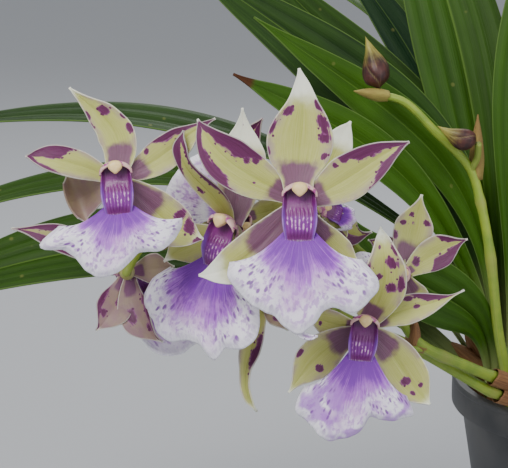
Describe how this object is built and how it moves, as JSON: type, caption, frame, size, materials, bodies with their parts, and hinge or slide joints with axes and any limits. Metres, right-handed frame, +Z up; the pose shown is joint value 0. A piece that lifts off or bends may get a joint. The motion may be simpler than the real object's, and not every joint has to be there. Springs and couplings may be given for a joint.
{
  "type": "potted zygonisia orchid",
  "caption": "Potted orchid in bloom: pleated leaves on pseudobulbs, arching flower spikes with spotted blooms and broad veined lips, a young bud spike, bark and a plain plastic pot.",
  "frame": {"origin": "centre of the pot's base, on the surface that the pot stands on", "axes": "+Z up along the pot's axis; the flowers face -Y; the spikes lean out over the rim towards -X"},
  "size_m": [0.5407, 0.3235, 0.3854],
  "materials": {
    "pot_plastic": "charcoal black plastic, slightly satin",
    "bark": "rough conifer bark chips",
    "pseudobulb": "smooth green, furrowed, with papery sheaths at the foot",
    "leaf": "glossy green, pleated along its veins",
    "stem": "smooth yellow-green, with dry bracts at its joints",
    "bud": "satin maroon with a green tip",
    "tepal": "waxy yellow-green, blotched with purple and edged with white",
    "lip": "soft white with violet veins that fade outwards",
    "column": "waxy magenta with a cream cap"
  },
  "bodies": {
    "root": {"bark_medium": "bark", "bud_1": "bud", "bud_2": "bud", "bud_spike": "stem", "flower_1_column": "column", "flower_1_lip": "lip", "flower_1_tepals": "tepal", "flower_2_column": "column", "flower_2_lip": "lip", "flower_2_tepals": "tepal", "flower_3_column": "column", "flower_3_lip": "lip", "flower_3_tepals": "tepal", "flower_4_column": "column", "flower_4_lip": "lip", "flower_4_tepals": "tepal", "flower_5_column": "column", "flower_5_lip": "lip", "flower_5_tepals": "tepal", "flower_6_column": "column", "flower_6_lip": "lip", "flower_6_tepals": "tepal", "flower_7_column": "column", "flower_7_lip": "lip", "flower_7_tepals": "tepal", "flower_8_column": "column", "flower_8_lip": "lip", "flower_8_tepals": "tepal", "flower_9_column": "column", "flower_9_lip": "lip", "flower_9_tepals": "tepal", "flower_spike_1": "stem", "flower_spike_2": "stem", "leaf_01": "leaf", "leaf_02": "leaf", "leaf_03": "leaf", "leaf_04": "leaf", "leaf_05": "leaf", "leaf_06": "leaf", "leaf_07": "leaf", "leaf_08": "leaf", "leaf_09": "leaf", "leaf_10": "leaf", "leaf_11": "leaf", "leaf_12": "leaf", "leaf_13": "leaf", "leaf_14": "leaf", "leaf_15": "leaf", "leaf_16": "leaf", "leaf_17": "leaf", "leaf_18": "leaf", "leaf_19": "leaf", "pot": "pot_plastic", "pseudobulb_1": "pseudobulb", "pseudobulb_2": "pseudobulb", "pseudobulb_3": "pseudobulb", "pseudobulb_4": "pseudobulb", "pseudobulb_5": "pseudobulb"}
  },
  "joints": []
}
